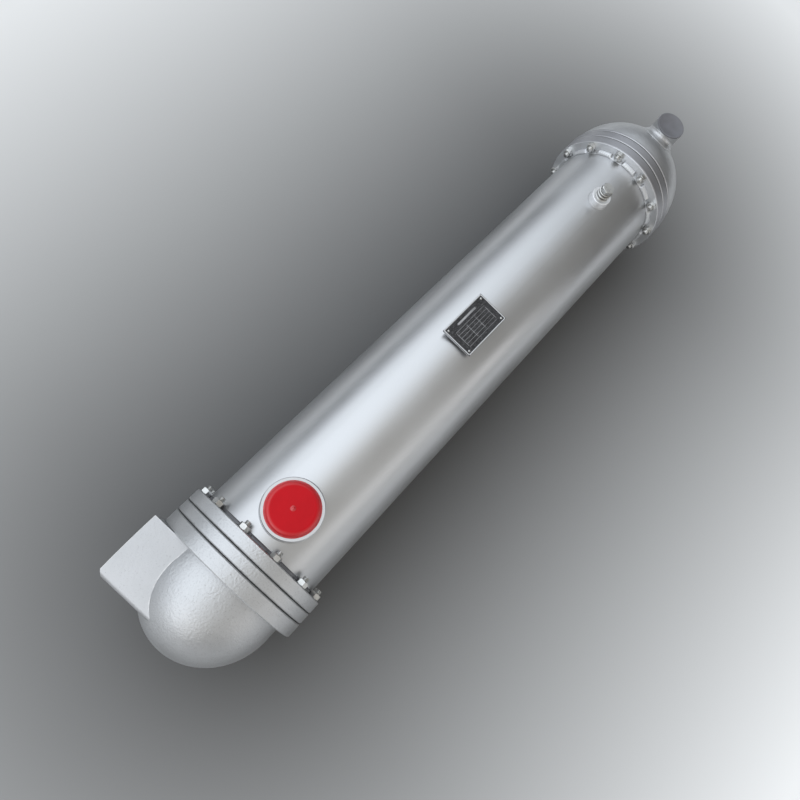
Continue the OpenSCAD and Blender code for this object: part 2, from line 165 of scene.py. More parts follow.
def edge_of(tree, radius):
    """0 on flat ground and 1 at an edge: the cosine between bevelled and true normal, where 0.995 and more
    give 0 and 0.90 and less give 1."""
    bevel = node_of(tree, "ShaderNodeBevel", Radius=radius)
    bevel.samples = 4
    true = tree.nodes.new("ShaderNodeNewGeometry")
    dot = tree.nodes.new("ShaderNodeVectorMath")
    dot.operation = "DOT_PRODUCT"
    tree.links.new(bevel.outputs["Normal"], dot.inputs[0])
    tree.links.new(true.outputs["Normal"], dot.inputs[1])
    return span(tree, dot.outputs["Value"], 0.995, 0.90, 0.0, 1.0)


def finish(name, colour, dark, metallic, rough, grain=(), patch=6.0, rough_spread=0.06, flake=None,
           edge=None, gloss=0.5):
    """Makes a procedural finish. Colour drifts between two tones in soft patches; flake (colour, scale,
    low, high) adds specks where a fine noise lies between low and high; edge (colour, radius, amount) shows
    a tone along edges, worn coat on the metal finishes and a painted highlight on the red caps; gloss
    scales the mirror part of a plain coat; each entry of grain is (scale per metre, bump strength, bump
    depth in metres)."""
    material = bpy.data.materials.new(name)
    material.use_nodes = True
    tree = material.node_tree
    shader = tree.nodes["Principled BSDF"]
    shader.inputs["Metallic"].default_value = metallic
    shader.inputs["Specular IOR Level"].default_value = gloss
    place = tree.nodes.new("ShaderNodeTexCoord").outputs["Object"]
    clouds = noise_of(tree, place, patch, 5)
    tone = mixed(tree, span(tree, clouds, 0.32, 0.68, 0, 1), dark, colour)
    if flake:
        specks = noise_of(tree, place, flake[1], 2)
        tone = mixed(tree, span(tree, specks, flake[2], flake[3], 0, 1), tone, flake[0])
    if edge:
        # Edge tone: worn coat on the metal finishes; on the red caps a painted highlight.
        wear_and_highlight = span(tree, noise_of(tree, place, 90, 4), 0.40, 0.62, 0, edge[2])
        tone = mixed(tree, sums(tree, "MULTIPLY", edge_of(tree, edge[1]), wear_and_highlight), tone, edge[0])
    tree.links.new(tone, shader.inputs["Base Color"])
    sheen = span(tree, clouds, 0.3, 0.7, rough - rough_spread, rough + rough_spread)
    tree.links.new(sheen, shader.inputs["Roughness"])
    last = None
    for scale, strength, depth in grain:
        bump = node_of(tree, "ShaderNodeBump", Strength=strength, Distance=depth)
        tree.links.new(noise_of(tree, place, scale), bump.inputs["Height"])
        if last:
            tree.links.new(last.outputs["Normal"], bump.inputs["Normal"])
        last = bump
    if last:
        tree.links.new(last.outputs["Normal"], shader.inputs["Normal"])
    print("finish", name)
    return material


# %% Paint and castings
bare_edge = (0.70, 0.70, 0.70)
cast_light, cast_dark = (0.545, 0.552, 0.565), (0.495, 0.500, 0.510)
silver = finish("sprayed_silver", (0.555, 0.562, 0.575), (0.505, 0.510, 0.520), 0.92, 0.36,
                [(900, 0.10, 0.0003), (2600, 0.12, 0.0001)], patch=5,
                flake=((0.62, 0.63, 0.65), 2600, 0.60, 0.72), edge=(bare_edge, 0.0012, 0.6))
cast_silver = finish("cast_silver", cast_light, cast_dark, 0.88, 0.40,
                     [(300, 0.52, 0.0012), (700, 0.45, 0.0005), (2400, 0.25, 0.0001)], patch=9,
                     flake=((0.37, 0.37, 0.38), 500, 0.58, 0.80), edge=(bare_edge, 0.0015, 0.8))
far_cast = finish("far_cast_silver", cast_light, cast_dark, 0.88, 0.40,
                  [(300, 0.35, 0.0009), (900, 0.40, 0.0004), (2400, 0.25, 0.0001)], patch=9,
                  flake=((0.36, 0.36, 0.37), 700, 0.58, 0.80), edge=(bare_edge, 0.0015, 0.8))
# The nozzle block's darker colour is painted shade; its grain and patches are the casting's own.
block_silver_painted_shade = finish("block_silver_painted_shade", (0.50, 0.505, 0.52), (0.42, 0.425, 0.435), 0.86, 0.42,
                      [(220, 0.25, 0.0010), (900, 0.25, 0.0003), (2400, 0.20, 0.0001)], patch=14,
                      flake=((0.36, 0.36, 0.37), 500, 0.60, 0.80), edge=(bare_edge, 0.0020, 0.8))
weld_silver = finish("weld_silver", (0.62, 0.63, 0.65), (0.55, 0.56, 0.57), 0.70, 0.36,
                     [(1500, 0.2, 0.0002)], patch=40)
# A darker weld finish for the near flange's bead: painted shade.
weld_painted_shade = finish("weld_painted_shade", (0.20, 0.20, 0.21), (0.13, 0.13, 0.14), 0.55, 0.45,
                    [(1500, 0.2, 0.0002)], patch=40)

# %% Zinc, copper, plastic and plate
zinc_light, zinc_dark, zinc_edge = (0.62, 0.62, 0.61), (0.48, 0.48, 0.47), (0.80, 0.80, 0.79)
fine_grain = [(1500, 0.15, 0.0001)]
zinc = finish("bright_zinc", zinc_light, zinc_dark, 0.95, 0.30, fine_grain, patch=70,
              edge=(zinc_edge, 0.0006, 0.8))
plug_zinc = finish("plug_zinc", zinc_light, zinc_dark, 0.95, 0.30, fine_grain, patch=70,
                   edge=(zinc_edge, 0.0006, 0.8))
boss_zinc = finish("boss_zinc", (0.82, 0.83, 0.85), (0.70, 0.71, 0.72), 0.45, 0.34, fine_grain, patch=60,
                   edge=((0.90, 0.90, 0.90), 0.0010, 0.8))
copper = finish("tube_copper", (0.60, 0.30, 0.17), (0.45, 0.20, 0.11), 0.9, 0.35,
                [(700, 0.1, 0.0002)], patch=30)
gasket_grey = finish("gasket_sheet", (0.035, 0.035, 0.036), (0.02, 0.02, 0.02), 0.0, 0.8,
                     [(900, 0.2, 0.0003)], patch=80)
dull = 0.12
# The red caps' lighter edge tone is a painted highlight on their rounded edges.
cap_red = finish("cap_red", (0.54, 0.005, 0.012), (0.49, 0.004, 0.010), 0.0, 0.34, [(600, 0.05, 0.0002)],
                 patch=30, edge=((0.82, 0.17, 0.19), 0.0016, 0.9), gloss=dull)
plug_grey = finish("plug_grey", (0.16, 0.16, 0.175), (0.14, 0.14, 0.15), 0.0, 0.52, [(900, 0.1, 0.0002)],
                   patch=60, gloss=0.4)
plate_black = finish("plate_black", (0.010, 0.010, 0.011), (0.022, 0.022, 0.024), 0.0, 0.45,
                     [(1200, 0.05, 0.0001)], patch=60, flake=((0.16, 0.155, 0.16), 700, 0.54, 0.70),
                     gloss=0.3)
plate_mark = finish("plate_mark", (0.40, 0.40, 0.41), (0.30, 0.30, 0.31), 0.0, 0.55, patch=90, gloss=0.3)

# %% A finish for each CAD node
finish_of = {
    "silver_paint": silver, "cast_silver_paint": cast_silver, "gasket": gasket_grey, "zinc": zinc,
    "red_plastic": cap_red, "grey_plastic": plug_grey, "plate_black": plate_black, "copper_tube": copper,
}
for entry in frame["record"]["subparts"]:
    mesh = nodes[entry["node"]].data
    mesh.materials.clear()
    mesh.materials.append(finish_of[entry["material_slot"]])
for near_one in ("near_shell_flange", "near_tube_plate"):
    nodes[near_one].data.materials[0] = cast_silver
for far_one in ("far_shell_flange", "lantern_ring", "far_bonnet"):
    nodes[far_one].data.materials[0] = far_cast
nodes["side_nozzle"].data.materials[0] = block_silver_painted_shade
nodes["vent_boss"].data.materials[0] = boss_zinc

# %% [markdown]
# ## Machined face of the nozzle block
# The block is painted as cast, but the face that a pipe flange seals on is milled and left bare. A mask on
# one Object coordinate finds that plane, so the CAD mesh needs no second material and stays as it is.

# %% Machined face


def along(tree, axis):
    """One Object coordinate, X, Y or Z, as a socket in metres."""
    split = tree.nodes.new("ShaderNodeSeparateXYZ")
    tree.links.new(tree.nodes.new("ShaderNodeTexCoord").outputs["Object"], split.inputs["Vector"])
    return split.outputs[axis]


def toned(material, amount, colour):
    """Mixes one more colour over a finish, by the amount socket of a mask in the same shader."""
    tree = material.node_tree
    socket = tree.nodes["Principled BSDF"].inputs["Base Color"]
    tree.links.new(mixed(tree, amount, socket.links[0].from_socket, colour), socket)


port_face, skin = lo_hi("side_nozzle")[1][1], 0.0002
block = block_silver_painted_shade.node_tree
on_face = span(block, along(block, "Y"), port_face - 2 * skin, port_face - skin, 0, 1)
toned(block_silver_painted_shade, on_face, (0.60, 0.59, 0.57))
print("machined face at y =", round(port_face, 4), "m")

# %% [markdown]
# ## Rims and nut face of the far joint
# The turned rims of the far joint carry painted shade: their colour is darker to stand for the shade they
# lie in.
# The face under its nuts carries a painted highlight: its colour is lighter to stand for the light it
# catches, so it is the brightest. The rims are found by their distance from the shell's axis and the nut
# face by its place along the shell.

# %% Far rims


def distance(tree, first, second):
    """Length of a two-part offset: root of the sum of the two squares."""
    return sums(tree, "SQRT", sums(tree, "ADD", sums(tree, "MULTIPLY", first, first),
                                   sums(tree, "MULTIPLY", second, second)))


far_tree = far_cast.node_tree
flange_r, rim_skin = (lo_hi("far_shell_flange")[1][1] - lo_hi("far_shell_flange")[0][1]) / 2, 0.0006
off_z = sums(far_tree, "SUBTRACT", along(far_tree, "Z"), float(axis_z))
from_shell_axis = distance(far_tree, along(far_tree, "Y"), off_z)
rim_painted_shade = span(far_tree, from_shell_axis, flange_r - 2 * rim_skin, flange_r - rim_skin, 0, 1)
# Painted shade: the far rims are coloured darker.
toned(far_cast, rim_painted_shade, (0.37, 0.37, 0.39))
# Painted highlight: the face under the far nuts is coloured lighter.
nut_face_painted_highlight = span(far_tree, along(far_tree, "X"), far_face + skin, far_face + 2 * skin, 1, 0)
toned(far_cast, nut_face_painted_highlight, (0.80, 0.81, 0.83))
print("far rims at radius", round(flange_r, 4), "m")

# %% [markdown]
# ## Helpers for surfaces
# Every new piece is a grid of points that a formula fills. The helper joins neighbouring points into
# four-sided faces, closes the grid where it comes round on itself, and merges points that fall together at
# a pole. One grid may hold many copies of a small shape, which keeps all nuts of a joint in one object.

# %% Grid to mesh


def piece(name, points, around_u=False, around_v=False, replaces=(), material=None, sharp=None):
    """Turns an array of shape (..., u, v, 3) into one mesh piece that rides on the root body.

    The last two grid directions are joined into quads; around_u and around_v close them on themselves, and
    edges sharper than the angle sharp, in degrees, are shaded as edges."""
    grid = np.asarray(points, float)
    nu, nv = grid.shape[-3], grid.shape[-2]
    copies = grid.reshape(-1, nu * nv, 3)
    u = np.arange(nu if around_u else nu - 1)
    v = np.arange(nv if around_v else nv - 1)
    a, b = np.meshgrid(u, v, indexing="ij")
    a2, b2 = (a + 1) % nu, (b + 1) % nv
    quads = np.stack([a * nv + b, a2 * nv + b, a2 * nv + b2, a * nv + b2], -1).reshape(-1, 4)
    faces = (quads[None] + (np.arange(len(copies)) * nu * nv)[:, None, None]).reshape(-1, 4)
    mesh = bpy.data.meshes.new(name)
    mesh.from_pydata(copies.reshape(-1, 3).tolist(), [], faces.tolist())
    work = bmesh.new()
    work.from_mesh(mesh)
    bmesh.ops.remove_doubles(work, verts=work.verts, dist=1e-6)
    bmesh.ops.dissolve_degenerate(work, edges=work.edges, dist=1e-7)
    bmesh.ops.recalc_face_normals(work, faces=work.faces)
    work.to_mesh(mesh)
    work.free()
    mesh.polygons.foreach_set("use_smooth", [True] * len(mesh.polygons))
    if sharp:
        mesh.set_sharp_from_angle(angle=math.radians(sharp))
    made = bpy.data.objects.new(name, mesh)
    bpy.context.scene.collection.objects.link(made)
    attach(made, "root")
    if replaces:
        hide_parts(*replaces)
    if material:
        mesh.materials.append(material)
    print(name, "has", len(mesh.polygons), "faces")
    return made


# %% [markdown]
# ## Nuts and studs
# Twelve plated studs hold each joint, and a hexagon nut pulls each of them up on the shell's side. A nut is
# a prism whose corners are cut by a shallow cone, so its faces end in curved edges. Taking the smaller of
# the hexagon's radius and the cone's radius at every point gives exactly that shape without any cutting.
# Each nut stopped at its own angle when it was tightened, so each is turned a little.

# %% Nuts
stud_r, stud_d, nut_af = 0.120, 0.010, 0.016
nut_h = lo_hi("near_nuts")[1][0] - near_face
nut_turns = np.radians(np.random.default_rng(7).uniform(-6, 6, (2, 12)))


def hex_radius(phi, across):
    """From a hexagon's centre to its side at angle phi: half the width over the cosine from the flat."""
    return across / 2 / np.cos((phi + np.pi / 6) % (np.pi / 3) - np.pi / 6)


def at_studs(place_x, out, around):
    """Copies a shape to the twelve stud places. Out and around are distances from a stud's own axis, which
    are turned by the angle of each place and added to the circle of studs."""
    angle = ((np.arange(12) + 0.5) * np.pi / 6)[:, None, None]
    y = (stud_r + out) * np.cos(angle) - around * np.sin(angle)
    z = axis_z + (stud_r + out) * np.sin(angle) + around * np.cos(angle)
    return np.stack([np.broadcast_to(place_x, y.shape), y, z], -1)


def nut_grid(face, side, turns):
    """Nuts on the plane x = face: radius is the smaller of hexagon and end cones, closed by the bore."""
    ring, bore, slope = 0.0076, stud_d / 2, math.tan(math.radians(30))
    lift = np.array([0, 0.0002, 0.0004, 0.0006, 0.0008, 0.00095])
    rise = np.concatenate([[0], lift, nut_h - lift[::-1], [nut_h, nut_h - 0.0006]])
    cone = np.concatenate([[bore], ring + lift / slope, ring + lift[::-1] / slope, [bore + 0.0006, bore]])
    phi = np.radians(np.arange(0, 360, 5.0))[:, None]
    r = np.minimum(hex_radius(phi, nut_af), cone[None])
    turn_by = turns[:, None, None]
    return at_studs(face + side * rise[None] + 0 * r, r * np.cos(phi + turn_by), r * np.sin(phi + turn_by))


piece("near_hex_nuts", nut_grid(near_face, 1, nut_turns[0]), True, True, ["near_nuts"], zinc, 20)
piece("far_hex_nuts", nut_grid(far_face, -1, nut_turns[1]), True, True, ["far_nuts"], zinc, 20)

# %% Studs with threads


def stud_grid(start, end):
    """Studs from start to end: a plain shank, then a screw thread whose radius is a cosine of the turn and
    of the distance along, and a small cone at the tip."""
    length, side = abs(end - start), np.sign(end - start)
    screw, rise, deep, tip, tip_slope = 0.008, 0.0015, 0.0009, 0.0010, 1.2
    run = np.linspace(length - screw, length - 0.0002, 46)
    s = np.concatenate([[0, 0, length - screw], run, [length, length]])[None]
    phi = np.linspace(0, 2 * np.pi, 24, endpoint=False)[:, None]
    thread = deep * (0.5 - 0.5 * np.cos(2 * np.pi * s / rise - phi))
    r = stud_d / 2 - np.where(s > length - screw, thread, 0)
    r = np.minimum(r, stud_d / 2 - tip + (length - s) * tip_slope)
    r[:, 0] = r[:, -1] = 0
    return at_studs(start + side * s + 0 * r, r * np.cos(phi), r * np.sin(phi))


near_ends, far_ends = lo_hi("near_studs"), lo_hi("far_studs")
piece("near_thread_studs", stud_grid(near_ends[0][0], near_ends[1][0]), True, False,
      ["near_studs"], zinc, 50)
piece("far_thread_studs", stud_grid(far_ends[1][0], far_ends[0][0]), True, False,
      ["far_studs"], zinc, 50)

# %% [markdown]
# ## Shipping caps
# The open shell ports carry moulded red caps with a lip, a widely rounded shoulder and the small nub that a
# mould's filling point leaves. A Lathe (Screw modifier) could turn such a section; here it is built from
# straight runs and arcs and turned by a formula. A mould leaves the flat top dull and the shoulder and nub
# bright, so the mirror part of the coat follows the distance from the cap's own axis.

# %% Caps


def arc(middle, radius, start, end, steps):
    """Points of a circle in a half section, as (radius, height) rows, from start to end in degrees."""
    t = np.radians(np.linspace(start, end, steps))
    return np.stack([middle[0] + radius * np.cos(t), middle[1] + radius * np.sin(t)], -1)


def turned(section, centre, steps=96, up=1):
    """Turns a half section of (radius, height) rows about an upright line through centre."""
    section = np.asarray(section, float)
    t = np.linspace(0, 2 * np.pi, steps, endpoint=False)[:, None]
    r, h = section[None, :, 0], section[None, :, 1]
    x, y = centre[0] + r * np.cos(t), centre[1] + r * np.sin(t)
    return np.stack([x, y, centre[2] + up * h + 0 * t], -1)


port_r, cap_r, cap_h, cap_skirt = 0.0372, 0.0420, 0.011, 0.012
roof_t, wall_t, lip_r, lip_neck = 0.004, 0.003, 0.0008, 0.0018
shoulder_w, wall_top = 0.0085, 0.0035
nub_foot, nub_top_r = 0.0048, 0.0030
inlet = (lo_hi("inlet_boss")[0] + lo_hi("inlet_boss")[1]) / 2
outlet = (lo_hi("outlet_boss")[0] + lo_hi("outlet_boss")[1]) / 2
quarter = np.radians(np.linspace(4, 90, 20))
shoulder = np.stack([cap_r - lip_neck - shoulder_w * (1 - np.cos(quarter)),
                     wall_top + (cap_h - wall_top) * np.sin(quarter)], -1)
cap_section = np.concatenate([
    [[0, cap_h - roof_t], [port_r - wall_t, cap_h - roof_t], [port_r - wall_t, -cap_skirt]],
    [[port_r - 0.0006, -cap_skirt], [port_r, -0.0002], [cap_r - lip_r / 2, 0]],
    arc((cap_r - lip_r, 0.0009), lip_r, -60, 90, 8),
    arc((cap_r - lip_r, 0.0025), lip_r, 270, 185, 6),
    shoulder,
    [[cap_r - 0.0115, cap_h], [nub_foot + 0.0008, cap_h], [nub_foot, cap_h]],
    [[nub_foot - 0.0006, cap_h + 0.0001], [nub_foot - 0.0012, cap_h + 0.0004]],
    arc((0, cap_h - 0.0010), nub_top_r, 40, 90, 8),
])
piece("inlet_red_cap", turned(cap_section, (inlet[0], 0, lo_hi("inlet_boss")[1][2])), True, False,
      ["inlet_cap"], cap_red, 50)
piece("outlet_red_cap", turned(cap_section, (outlet[0], 0, lo_hi("outlet_boss")[0][2]), up=-1), True, False,
      ["outlet_cap"], cap_red, 50)

# %% Bright shoulder of the caps


def off_axis(tree, x):
    """Distance from the upright line at x and y = 0."""
    return distance(tree, sums(tree, "SUBTRACT", along(tree, "X"), float(x)), along(tree, "Y"))


red = cap_red.node_tree
out_by = sums(red, "MINIMUM", off_axis(red, inlet[0]), off_axis(red, outlet[0]))
shine_from, shine_full = cap_r - 0.0090, cap_r - 0.0055
on_shoulder = span(red, out_by, shine_from, shine_full, dull, 0.80)
on_nub = span(red, out_by, nub_foot - 0.0012, nub_foot - 0.0002, 1.0, dull)
mirror_part = red.nodes["Principled BSDF"].inputs["Specular IOR Level"]
red.links.new(sums(red, "MAXIMUM", on_shoulder, on_nub), mirror_part)
print("caps shine from radius", round(shine_from, 4), "m outwards")

# %% [markdown]
# ## Weld beads
# Flanges, bosses and feet are welded to the shell. A bead fills the corner between two surfaces and keeps
# the ripples of the moving arc. One function makes all of them: it is given a path along the corner and, at
# each point, the two directions that climb the surfaces, and it sweeps a rounded section along the path.
# The near flange's bead carries painted shade: its colour is darker to stand for the shade behind the nuts.

# %% Bead function


def bead(path, side_a, side_b, leg_a, leg_b, ripple=0.06, step=0.0035, closed=True):
    """Sweeps a bead along a corner. Its section is a quarter of an ellipse between leg_a on one surface and
    leg_b on the other; a sine of the length along the path swells the legs by ripple, bent into crescents,
    and the ends of an open path run out to nothing."""
    gap = np.linalg.norm(np.diff(path, axis=0, append=path[:1]), axis=1)
    length = gap.sum() if closed else gap[:-1].sum()
    s = np.concatenate([[0], np.cumsum(gap[:-1])])[:, None]
    t = np.linspace(0, np.pi / 2, 9)[None]
    bend, sink = 1.3, 0.0004
    wave = np.sin(2 * np.pi * max(1, round(length / step)) * s / length + bend * np.sin(2 * t))
    size = 1 + ripple * wave * np.sin(2 * t)
    if not closed:
        ends = np.clip(np.minimum(s, length - s) / leg_b, 0, 1)
        size = size * np.sqrt(np.clip(1 - (1 - ends) ** 2, 0, 1))
    up_a, up_b = leg_a * size * np.cos(t), leg_b * size * np.sin(t)
    body = path[:, None] + up_a[..., None] * side_a[:, None] + up_b[..., None] * side_b[:, None]
    root = path - sink * (side_a + side_b) * (size[:, :1] > 0)
    return np.concatenate([body, root[:, None]], 1)


# %% Flange beads
turn_round = np.linspace(0, 2 * np.pi, 1200, endpoint=False)
spoke = np.stack([0 * turn_round, np.cos(turn_round), np.sin(turn_round)], -1)
lengthwise = np.broadcast_to([1.0, 0, 0], spoke.shape)


def flange_bead(face, side, rise, run):
    """Bead round the shell at the plane x = face, running along the shell to the given side by run. Its
    height up the flange is a smooth step of the angle to the next nut, because the nut seats are cut into
    it: 2 mm at a nut, and rise more between nuts."""
    path = shell_r * spoke + [face, 0, axis_z]
    at_nut, nut_half, ramp = 0.0020, 5.5, 3.0
    turn_by = np.degrees(np.arctan2(spoke[:, 1], spoke[:, 2]))
    from_nut = np.clip((np.abs(turn_by % 30 - 15) - nut_half) / ramp, 0, 1)[:, None]
    height = at_nut + rise * from_nut ** 2 * (3 - 2 * from_nut)
    return bead(path, spoke, side * lengthwise, height, run, ripple=0.015, step=0.0045)


# The near bead's darker finish is painted shade.
piece("near_weld_bead", flange_bead(near_face, 1, rise=0.0015, run=0.0055), True, True,
      ["near_flange_weld"], weld_painted_shade)
piece("far_weld_bead", flange_bead(far_face, -1, rise=0.0045, run=0.0090), True, True,
      ["far_flange_weld"], weld_silver)

# %% Boss beads


def unit(v):
    """Vectors scaled to length one."""
    return v / np.linalg.norm(v, axis=-1, keepdims=True)


def climb(normal, off):
    """Direction in the surface with the given normal that comes nearest to off: off less its part along
    the normal, scaled to length one."""
    return unit(off - (off * normal).sum(-1, keepdims=True) * normal)


def boss_bead(centre_x, radius, leg, up, steps):
    """Bead round an upright boss on the shell: the path is the circle of the boss lifted onto the shell,
    height = root of shell radius squared minus y squared."""
    t = np.linspace(0, 2 * np.pi, steps, endpoint=False)
    y = radius * np.sin(t)
    rise = up * np.sqrt(shell_r ** 2 - y ** 2)
    path = np.stack([centre_x + radius * np.cos(t), y, axis_z + rise], -1)
    boss_out = np.stack([np.cos(t), np.sin(t), 0 * t], -1)
    shell_out = np.stack([0 * t, y, rise], -1) / shell_r
    up_boss, up_shell = climb(boss_out, shell_out), climb(shell_out, boss_out)
    return bead(path, up_boss, up_shell, leg, leg, ripple=0.10, step=0.003)


vent = (lo_hi("vent_boss")[0] + lo_hi("vent_boss")[1]) / 2
boss_r = lo_hi("inlet_boss")[1][1]
vent_r = -lo_hi("vent_boss")[0][1]
boss_leg, vent_leg = 0.0014, 0.0016
boss_beads = {
    "inlet_bead": boss_bead(inlet[0], boss_r, boss_leg, 1, 600),
    "outlet_bead": boss_bead(outlet[0], boss_r, boss_leg, -1, 600),
    "vent_bead": boss_bead(vent[0], vent_r, vent_leg, 1, 300),
}
for bead_name, bead_grid in boss_beads.items():
    piece(bead_name, bead_grid, True, True, material=silver)

# %% [markdown]
# ## Blend at the stub
# The far dome and its upright stub are one casting, so the corner between them is filled with a wide soft
# blend. Each section is a curve with two ends and one pull point (a quadratic Bezier): it leaves the stub's
# wall downwards and meets the dome along its surface. The blend dies out where stub and dome run into one.

# %% Stub blend
stub_low, stub_high = lo_hi("far_stub")
stub_x, stub_r = (stub_low[0] + stub_high[0]) / 2, (stub_high[1] - stub_low[1]) / 2
dome_r, blend_up, blend_out = 0.129, 0.015, 0.026
dome_x = lo_hi("far_bonnet")[1][0] - dome_r


def stub_blend(leg_wall, leg_dome):
    """Sections between stub and dome: ends leg_wall up the wall and leg_dome along the dome, both scaled by
    the cosine of half the corner's opening; the pull point is where the two end tangents meet."""
    t = np.linspace(0, 2 * np.pi, 240, endpoint=False)
    wall_out = np.stack([np.cos(t), np.sin(t), 0 * t], -1)
    reach = stub_r * wall_out + [stub_x - dome_x, 0, 0]
    reach[:, 2] = np.sqrt(dome_r ** 2 - (reach ** 2).sum(1))
    dome_out = reach / dome_r
    foot = reach + [dome_x, 0, axis_z]
    wall_up, dome_off = climb(wall_out, dome_out), climb(dome_out, wall_out)
    open_by = np.sqrt(np.clip((1 + (wall_up * dome_off).sum(1)) / 2, 0, 1))[:, None]
    swing = leg_dome * open_by / dome_r
    lean = np.clip((wall_up * dome_out).sum(1, keepdims=True), 0.35, 1)
    top = foot + leg_wall * open_by * wall_up
    pull = foot + dome_r * (1 / np.cos(swing) - 1) / lean * wall_up
    low = foot + dome_r * (np.sin(swing) * dome_off - (1 - np.cos(swing)) * dome_out)
    k = np.linspace(0, 1, 13)[None, :, None]
    curve = (1 - k) ** 2 * top[:, None] + 2 * k * (1 - k) * pull[:, None] + k ** 2 * low[:, None]
    root = foot - 0.002 * unit(wall_up + dome_off + 1e-6) - 0.001 * dome_out
    return np.concatenate([curve, root[:, None]], 1)


piece("stub_blend", stub_blend(blend_up, blend_out), True, True, material=cast_silver)

# %% [markdown]
# ## Vent plug and stub plug
# The vent is closed by a turned plug. Three rounded rings stand on the boss, and above them sits a narrower
# hexagon head with a cone-cut end. Radius as a function of height and angle makes all of it one surface.
# The grooves of the plug carry painted shade: their colour is darker. The stub's end is closed by a flat
# disc with a low rim.

# %% Vent plug
vent_seat = lo_hi("vent_boss")[1][2]
vent_top = lo_hi("vent_plug")[1][2] - vent_seat
head_h, vent_af, neck_r, ring_depth = 0.009, 0.021, 0.013, 0.0038
shank_r, shank_l, cone_r, cone_slope, head_turn = 0.0117, 0.014, 0.0101, 1.9, 0.3


def vent_plug_grid():
    """Radius over height and angle: shank, a neck with rings by a cosine of the height, a hexagon head."""
    neck = vent_top - head_h
    shank = np.array([[0, -shank_l], [shank_r, -shank_l], [shank_r, 0.0], [neck_r - 0.0012, 0.0]])
    up_neck = np.linspace(0, 1, 65)
    waist = ring_depth * (0.5 - 0.5 * np.cos(2 * np.pi * 2 * up_neck)) ** 0.7
    rings = np.stack([neck_r - waist, 0.0002 + up_neck * (neck - 0.0010)], -1)
    lift = np.linspace(0, 0.0012, 5)
    cone = np.stack([cone_r + lift * cone_slope, lift], -1)
    head = np.concatenate([
        [[neck_r - 0.0016, neck], [0.0100, neck]], cone + [0, neck],
        cone[::-1] * [1, -1] + [0, vent_top], [[0.0080, vent_top], [0, vent_top]],
    ])
    rows = np.concatenate([shank, rings, head])
    phi = np.linspace(0, 2 * np.pi, 72, endpoint=False)[:, None]
    r, h = rows[None, :, 0] + 0 * phi, rows[None, :, 1] + 0 * phi
    r = np.where(h > neck, np.minimum(r, hex_radius(phi + head_turn, vent_af)), r)
    return np.stack([vent[0] + r * np.cos(phi), r * np.sin(phi), vent_seat + h], -1)


piece("vent_pipe_plug", vent_plug_grid(), True, False, ["vent_plug"], plug_zinc, 24)

# %% Painted shade in the grooves
plug = plug_zinc.node_tree
head_foot = vent_seat + vent_top - head_h
below_head = span(plug, along(plug, "Z"), head_foot, head_foot + 0.0004, 1, 0)
groove_shade_mask = span(plug, off_axis(plug, vent[0]), neck_r - 0.0022, neck_r - 0.0008, 1, 0)
# Painted shade: the grooves below the head are coloured darker.
toned(plug_zinc, sums(plug, "MULTIPLY", below_head, groove_shade_mask), (0.12, 0.12, 0.12))
print("grooves end at", round(head_foot, 4), "m")

# %% Stub plug
plug_top = lo_hi("far_stub_plug")[1][2]
plug_r, spigot_r = stub_r - 0.0005, stub_r - 0.0035
plug_l, disc_t, disc_round, rim_drop = 0.0145, 0.0025, 0.0008, 0.0007
plug_section = np.concatenate([
    [[0, -plug_l], [spigot_r, -plug_l], [spigot_r, -disc_t], [plug_r, -disc_t]],
    arc((plug_r - disc_round, -disc_round), disc_round, 0, 90, 6),
    [[plug_r - 0.0028, 0], [plug_r - 0.0036, -0.0006], [0.004, -rim_drop], [0, -rim_drop]],
])
piece("stub_end_plug", turned(plug_section, (stub_x, 0, plug_top)), True, False,
      ["far_stub_plug"], plug_grey, 40)

# %% [markdown]
# ## Name plate
# A black plate with a bright rim and ruled lines lies on the bracket, held by four rivets. It carries no
# words. The rim, the rules and the rivet heads are thin raised shapes, so light catches their edges.

# %% Plate rim
plate_low, plate_high = lo_hi("name_plate")
plate_mid = (plate_low + plate_high) / 2
half_x, half_y = (plate_high[:2] - plate_low[:2]) / 2
plate_top = plate_high[2]


def plate_rim(width, rise, corner):
    """Closed path round the plate, a rectangle with arcs at its corners, with a low rounded section."""
    t = np.linspace(0, 2 * np.pi, 128, endpoint=False)
    sx, sy = np.sign(np.cos(t)), np.sign(np.sin(t))
    inset = width * np.array([0, 0.15, 0.5, 0.85, 1])[None] + 0 * t[:, None]
    height = np.array([-0.0002, rise * 0.8, rise, rise * 0.8, -0.0002])[None] + 0 * inset
    cx, cy = half_x - corner, half_y - corner
    x = plate_mid[0] + (sx * cx)[:, None] + np.cos(t)[:, None] * (corner - inset)
    y = plate_mid[1] + (sy * cy)[:, None] + np.sin(t)[:, None] * (corner - inset)
    return np.stack([x, y, plate_top + height], -1)


rim_w, rim_h, rim_corner = 0.0026, 0.0005, 0.0030
piece("plate_rim", plate_rim(rim_w, rim_h, rim_corner), True, True, material=silver)

# %% Plate rivets
rivet_r, rivet_sink, rivet_round = 0.0023, 0.0004, 0.0026
rivet_section = np.concatenate([
    [[0, -rivet_sink], [rivet_r, -rivet_sink]], arc((0, -0.0012), rivet_round, 28, 90, 9)])
rivet_x, rivet_y = (corner.ravel() for corner in np.meshgrid([-1, 1], [-1, 1]))
rivet_inset = 0.0065
rivet_places = np.stack([
    plate_mid[0] + rivet_x * (half_x - rivet_inset), plate_mid[1] + rivet_y * (half_y - rivet_inset),
    0 * rivet_x,
], -1)
rivets = turned(rivet_section, (0, 0, plate_top), 32)[None] + rivet_places[:, None, None]
piece("plate_rivets", rivets, True, False, material=zinc, sharp=60)

# %% Plate rules


